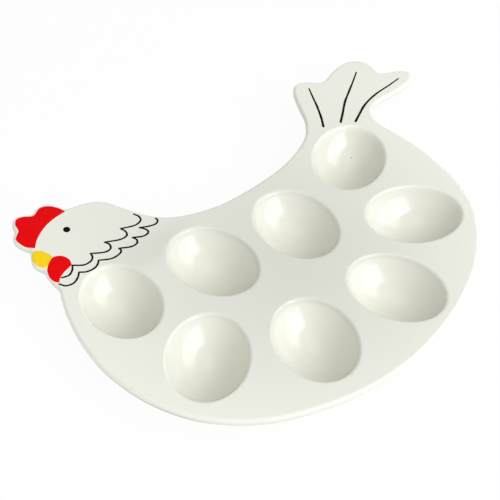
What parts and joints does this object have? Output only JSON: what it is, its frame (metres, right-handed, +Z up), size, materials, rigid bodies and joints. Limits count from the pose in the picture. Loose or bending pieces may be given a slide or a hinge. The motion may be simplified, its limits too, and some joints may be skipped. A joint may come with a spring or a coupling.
{
  "type": "deviled egg platter",
  "caption": "Flat glazed ceramic serving platter in the outline of a hen, with oval egg wells in its deck and painted comb, beak, wattle, eye and feather lines.",
  "frame": {"origin": "middle of the bounding box in plan, on the surface that the platter stands on", "axes": "+X from the hen's breast to its tail, +Y from its belly to its comb, +Z up out of the deck"},
  "size_m": [0.302, 0.228, 0.0233],
  "materials": {
    "white_glaze": "glossy warm white glaze",
    "red_enamel": "glossy fired enamel",
    "yellow_enamel": "glossy fired enamel",
    "black_enamel": "glossy fired enamel"
  },
  "bodies": {
    "root": {"platter_body": "white_glaze", "comb_enamel": "red_enamel", "beak_enamel": "yellow_enamel", "wattle_enamel": "red_enamel", "eye_enamel": "black_enamel", "upper_feather_line": "black_enamel", "lower_feather_line": "black_enamel", "left_tail_stroke": "black_enamel", "middle_tail_stroke": "black_enamel", "right_tail_stroke": "black_enamel"}
  },
  "joints": []
}
